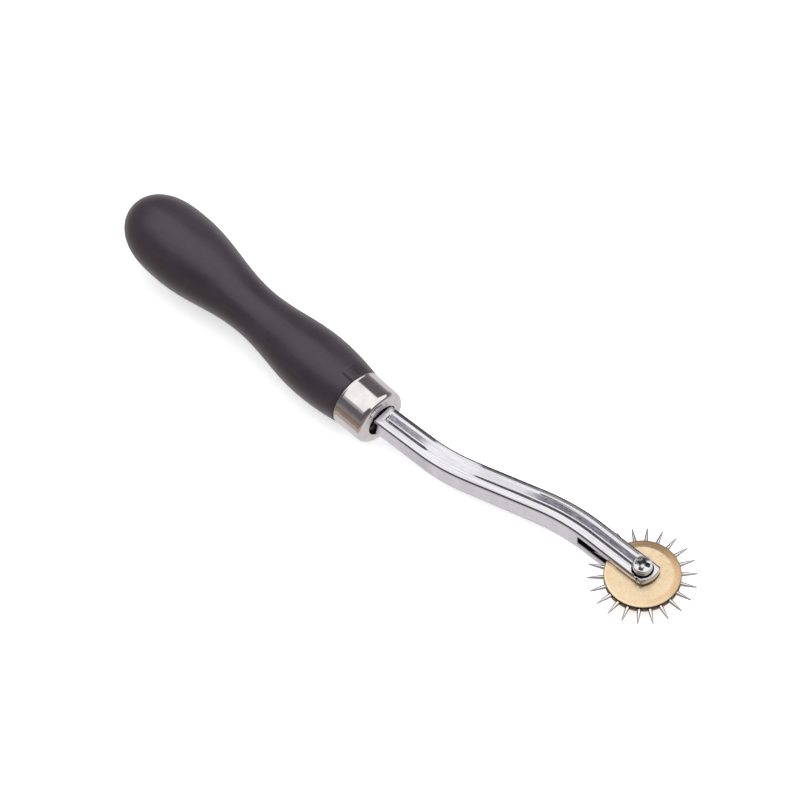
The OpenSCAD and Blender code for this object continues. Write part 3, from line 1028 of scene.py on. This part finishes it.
def make_screw(material):
    """Pan-head screw with a cross recess. Its plain shank is the wheel's axle."""
    edge = HEAD_TOP - HEAD_DOME
    seat = FRONT_HALF - POCKET_DEPTH + 0.01
    radii = np.r_[0, np.arange(0.06, HEAD_R - HEAD_CORNER - 0.04, 0.045)]
    profile = [(float(r), edge + float(dome_height(r))) for r in radii]
    corner_z = edge + float(dome_height(HEAD_R - HEAD_CORNER)) - HEAD_CORNER
    # Known fault: this arc runs from the side up to the top, so the corner folds over itself
    profile += arc(HEAD_R - HEAD_CORNER, corner_z, HEAD_CORNER, 80, 0, 10)
    profile += [(HEAD_R, corner_z - 0.4), (HEAD_R, seat + 0.15), (HEAD_R - 0.15, seat),
                (SHANK_R + 0.05, seat), (SHANK_R - 0.01, seat - 0.1)]
    profile += [(SHANK_R - 0.01, SCREW_END + 0.3), (SHANK_R - 0.3, SCREW_END), (0.0, SCREW_END)]
    points, faces = revolve(profile, 200)
    top = points[:, 2] > edge - 0.02
    points[:, 2] -= np.where(top, cross_depth(points[:, 0], points[:, 1]), 0)
    made = piece("axle_screw_head", points, faces, HOLDER, "axle_screw", material)
    placed = tool_points(made)
    away = radial(placed)
    depth = edge + dome_height(np.minimum(away, HEAD_R)) - placed[:, 2]
    # Painted shade in the cross recess, and round the head's foot in the pocket
    recess = smooth((depth - 0.1) / 0.5) * smooth((away - 0.25) / 0.4)
    recess *= away < HEAD_R - HEAD_CORNER
    foot = (placed[:, 2] < FRONT_HALF + 0.05) * (away > SHANK_R)
    store_values(made, grime=np.maximum(recess * RECESS_SHADE, foot))
    return made


# ------------ wheel

# Painted shade darkens the bevel and its rim edge on the side at this angle about the axle, in
# degrees;
# a painted highlight lightens the lip on the other side
SHADED_TURN = 82.0
RUST_REACH = 0.85
# How dark the painted shade along the rim is on the shaded side
RIM_SHADE = 0.45


def mark_disc(made, rusty):
    """Stores each vertex's radius, painted shade on one side of the bevel, a painted highlight on
    the lip on the other, painted shade inside the disc, and painted shade or, on a rusty disc, rust at
    its rim."""
    points = tool_points(made)
    away = radial(points)
    height = np.abs(points[:, 2])
    inside = (height < RIM_INNER + 0.1) & (away > BUSH_R + 0.1) & (away < DISC_R - RUST_REACH)
    rim = (away > DISC_R - RUST_REACH) & (height < RIM_OUTER - 0.09)
    outer = height > RIM_OUTER - 0.02
    bevel = smooth((away - DISC_R + DISC_BEVEL) / 0.5) * outer
    lip = smooth((away - DISC_R + 0.75) / 0.25) * outer
    turn = np.arctan2(points[:, 1], points[:, 0])
    # Painted light: the bevel is shaded on one side and its lip lit on the other
    side = 0.5 + 0.5 * np.cos(turn - math.radians(SHADED_TURN))
    edge = RIM_SHADE * side ** 2 * (away > DISC_R - 0.3) * outer
    # Painted shade between the discs, at the front disc's rim and along the shaded side's edge
    grime = np.maximum(edge, np.maximum(inside, rim * (not rusty)))
    store_values(made, radius=away, grime=grime, rust=rim * rusty,
                 tarnish=side * bevel * (0.8 + 0.2 * lip), worn=(1 - side) ** 2 * lip)


def make_disc(name, node, sign, rusty, material):
    """Brass disc: flat face, wide shallow bevel with soft corners, rim over the points."""
    face_r = DISC_R - DISC_BEVEL
    land_r = TAIL_R - 0.1
    bore = BUSH_R + 0.01
    rim_r = DISC_R - 0.02
    rust_r = DISC_R - RUST_REACH
    edge = 0.22
    slope = (FACE_Z - RIM_OUTER) / DISC_BEVEL
    profile = [(bore, 0.0), (land_r, 0.0), (land_r, RIM_INNER), (rust_r - 0.05, RIM_INNER),
               (rust_r + 0.05, RIM_INNER), (DISC_R - 0.1, RIM_INNER), (rim_r, RIM_INNER + 0.08),
               (rim_r, RIM_OUTER - edge - 0.03), (DISC_R, RIM_OUTER - edge)]
    # Known fault: this arc runs from the bevel out to the rim, so the corner folds over itself
    profile += arc(DISC_R - edge, RIM_OUTER - edge, edge, 15, 80, 6)
    profile += [(DISC_R - DISC_BEVEL * t, RIM_OUTER + slope * DISC_BEVEL * t)
                for t in (0.14, 0.24, 0.34, 0.5, 0.7, 0.88)]
    profile += [(face_r, FACE_Z - 0.008), (face_r - 0.25, FACE_Z)]
    profile += [(r, FACE_Z) for r in np.linspace(face_r - 0.5, 3.3, 20)]
    profile += [(2.91, FACE_Z), (2.88, FACE_Z - 0.05), (bore, FACE_Z - 0.4)]
    points, faces = revolve(profile, 256, closed=True)
    # The face is a little uneven after stamping
    away = radial(points)
    turn = np.arctan2(points[:, 1], points[:, 0])
    flat = smooth((away - 3) / 2) * smooth((DISC_R - away) / 1.0) * (points[:, 2] > RIM_OUTER)
    points[:, 2] -= 0.012 * flat * (1 + np.sin(3 * turn + 1.1) * np.cos(away * 0.9))
    points[:, 2] *= sign
    made = piece(name, points, faces, WHEEL, node, material)
    mark_disc(made, rusty)
    return made


def make_bush(material):
    """Brass bush with staked ends, between the fork's tines."""
    profile = [(BUSH_BORE + 0.08, -BUSH_HALF), (BUSH_R - 0.35, -BUSH_HALF),
               (BUSH_R - 0.2, -BUSH_HALF + 0.04), (STAKE_R, -FACE_Z + 0.02),
               (BUSH_R - 0.01, -FACE_Z + 0.42)]
    profile += [(r, -h) for r, h in reversed(profile)]
    profile += [(BUSH_BORE, BUSH_HALF - 0.08), (BUSH_BORE, -BUSH_HALF + 0.08)]
    points, faces = revolve(profile, 96, closed=True)
    made = piece("hub_bush", points, faces, WHEEL, "hub_sleeve", material)
    store_values(made, radius=radial(tool_points(made)), grime=np.zeros(len(made.data.vertices)))
    return made


def make_point(node, material):
    """A ground steel spike: straight tail between the discs, full cone, rounded tip."""
    corners = tool_points(CAD[node])
    centre = corners[radial(corners).argmax()]
    turn = math.atan2(centre[1], centre[0])
    tip = TIP_R - SKIN
    root = DISC_R - 0.05
    profile = [(0.0, TAIL_R), (POINT_R - 0.1, TAIL_R), (POINT_R, TAIL_R + 0.1), (POINT_R, root),
               (POINT_R - 0.012, root + 0.12)]
    profile += [(TIP_BLUNT + (POINT_R - TIP_BLUNT) * (1 - t) ** POINT_FULLNESS,
                 root + (tip - TIP_BLUNT - root) * t)
                for t in (0.1, 0.22, 0.34, 0.46, 0.58, 0.7, 0.8, 0.88, 0.95)]
    profile += arc(0, tip - TIP_BLUNT, TIP_BLUNT, 90, 20, 4)
    profile += [(0.0, tip)]
    points, faces = revolve(profile, 32)
    c, s = math.cos(turn), math.sin(turn)
    placed = np.c_[c * points[:, 2] - s * points[:, 0], s * points[:, 2] + c * points[:, 0],
                   points[:, 1]]
    made = piece("steel_" + node, placed, faces, WHEEL, node, material)
    store_values(made, tip=(radial(tool_points(made)) - DISC_R) / (TIP_R - DISC_R))
    return made


# ------------ stage, light, camera

PANEL_HEIGHT = 1.0
# Outlines of the overhead panels, as slopes seen from the ferrule: (x / z, y / z)
PANEL_OUTLINE = [(-1.5, -0.9), (-0.45, -0.95), (0.15, -0.30), (1.3, -0.30), (1.6, 2.2),
                 (-0.26, 2.2), (-0.34, 0.62), (-1.5, 0.62)]
PANEL_RADIANCE = 1.15
# A dimmer apron hangs from the first one's near edge
APRON_OUTLINE = [(-2.6, -1.35), (-0.3, -1.35), (-0.45, -0.95), (-1.5, -0.9)]
APRON_RADIANCE = 0.42
FILL_RADIANCE = 1.2
FILL_SIZE = 4.4
FILL_HEIGHT = 2.2
TABLE_GLOW = 0.5
TABLE_HALF = 2.5
TABLE_Z = -0.00006
# What the metal sees in place of the table: strips along X, from y to y, with their colours
CARD_RADIANCE = 0.75
CARDS = [(-0.027, 1.2, (1.0, 0.965, 0.985)), (-0.042, -0.027, (0.66, 0.57, 0.52)),
         (-0.09, -0.042, (0.42, 0.31, 0.25))]
CARD_HALF_LENGTH = 0.35
CARD_Z = -0.00003
# The room's colour from straight down (0) over the horizon (0.5) to straight up (1)
ROOM = [(0.0, (0.24, 0.18, 0.15)), (0.47, (0.25, 0.185, 0.15)), (0.53, (0.29, 0.275, 0.28)),
        (0.64, (0.15, 0.14, 0.15)), (0.80, (0.13, 0.12, 0.13))]
# The grey that the camera sees past the table
SURROUND = 0.92


def plain_object(name, points, material):
    """One flat face."""
    mesh = bpy.data.meshes.new(name)
    mesh.from_pydata(points, [], [tuple(range(len(points)))])
    mesh.materials.append(material)
    made = bpy.data.objects.new(name, mesh)
    bpy.context.scene.collection.objects.link(made)
    return made


def glowing(name, radiance, colour=(1, 1, 1)):
    """A material that only glows."""
    tree = Tree(bpy.data.materials.new(name))
    tree.nodes.clear()
    glow = tree.node("Emission", Color=colour, Strength=radiance)
    tree.node("OutputMaterial", Surface=glow.outputs[0])
    return tree.owner


def room_world():
    """Dim room for reflections, lighter near the horizon, and a pale surround to look at."""
    world = bpy.data.worlds.new("studio")
    bpy.context.scene.world = world
    tree = Tree(world)
    split = tree.node("SeparateXYZ", Vector=tree.node("TexCoord").outputs["Generated"])
    room = tree.ramp(tree.maths("MULTIPLY_ADD", split.outputs["Z"], 0.5, 0.5), ROOM)
    seen = tree.node("LightPath").outputs["Is Camera Ray"]
    tree.feed(tree.nodes["Background"].inputs["Color"], tree.mix(seen, room, SURROUND))


def hung_panel(name, outline, radiance):
    """A glowing panel overhead, given by slopes seen from the ferrule."""
    ferrule = Vector((FACE_X, AXIS_Y, 0)) * MM
    corners = [TOOL @ (ferrule + Vector((x, y, 1)) * PANEL_HEIGHT) for x, y in outline]
    panel = plain_object(name, [c[:] for c in reversed(corners)], glowing(name, radiance))
    panel.visible_camera = False
    panel.visible_shadow = False


def flat_rectangle(half_length, y0, y1, z):
    """Corners of a level rectangle, centred along X."""
    x0, x1 = -half_length, half_length
    return [(x0, y0, z), (x1, y0, z), (x1, y1, z), (x0, y1, z)]


def make_stage():
    """White table, dim room, overhead panels and a fill that metal doesn't mirror."""
    wide = plain_object("paper_floor", flat_rectangle(TABLE_HALF, -TABLE_HALF, TABLE_HALF, TABLE_Z),
                        paper("white paper", 0.90, 0.93, TABLE_GLOW))
    wide.visible_glossy = False
    for number, (near, far, colour) in enumerate(CARDS):
        strip = plain_object("card_%d" % number, flat_rectangle(CARD_HALF_LENGTH, near, far, CARD_Z),
                             glowing("card %d" % number, CARD_RADIANCE, colour))
        strip.visible_camera = False
        strip.visible_diffuse = False
        strip.visible_shadow = False
    hung_panel("overhead_panel", PANEL_OUTLINE, PANEL_RADIANCE)
    hung_panel("apron_panel", APRON_OUTLINE, APRON_RADIANCE)
    data = bpy.data.lights.new("fill", "AREA")
    data.shape = "SQUARE"
    data.size = FILL_SIZE
    data.energy = FILL_RADIANCE * math.pi * FILL_SIZE ** 2
    fill = bpy.data.objects.new("fill", data)
    bpy.context.scene.collection.objects.link(fill)
    fill.location = (0, 0, FILL_HEIGHT)
    fill.visible_glossy = False
    room_world()


# The camera looks at a place between the ferrule and the handle's neck
CAMERA_AIM = (-0.0817, -0.0063, 0.0)
CAMERA_AWAY = 0.7828
CAMERA_AZIMUTH = math.radians(51.64)
CAMERA_ELEVATION = math.radians(56.26)
CAMERA_ROLL = math.radians(-6.01)
CAMERA_LENS = 135.0


def make_camera():
    """Long-lens view from above the wheel's side, with a small roll."""
    a, e, roll = CAMERA_AZIMUTH, CAMERA_ELEVATION, CAMERA_ROLL
    back = Vector((math.sin(a) * math.cos(e), -math.cos(a) * math.cos(e), math.sin(e)))
    right = Vector((math.cos(a), math.sin(a), 0))
    up = back.cross(right)
    rolled_right = math.cos(roll) * right + math.sin(roll) * up
    rolled_up = math.cos(roll) * up - math.sin(roll) * right
    turn = TOOL_TURN @ Matrix((rolled_right, rolled_up, back)).transposed()
    data = bpy.data.cameras.new("camera")
    data.lens = CAMERA_LENS
    data.sensor_width = 36.0
    data.clip_start = 0.01
    data.clip_end = 20.0
    camera = bpy.data.objects.new("camera", data)
    bpy.context.scene.collection.objects.link(camera)
    place = TOOL @ (Vector(CAMERA_AIM) + back * CAMERA_AWAY)
    camera.matrix_world = Matrix.Translation(place) @ turn.to_4x4()
    bpy.context.scene.camera = camera


make_camera()
make_stage()
bpy.context.scene.view_settings.view_transform = "Standard"

make_handle(lacquer())
make_ferrule(nickel("bright nickel", (0.80, 0.77, 0.77), 0.09, 0.16, (5, 0.12, 0.12)))
make_arm(cast_plate())
make_screw(nickel("bright zinc", (0.83, 0.83, 0.84), 0.10, 0.20, (0.3, 0.3, 0.3)))
disc_metal = brass("satin brass", (0.83, 0.665, 0.455), (0.735, 0.56, 0.345))
make_disc("brass_disc_front", "front_disc", 1, False, disc_metal)
make_disc("brass_disc_rear", "rear_disc", -1, True, disc_metal)
make_bush(brass("bush brass", (0.74, 0.56, 0.30), (0.62, 0.45, 0.22)))
steel = point_steel()
for point_node in POINT_NODES:
    make_point(point_node, steel)
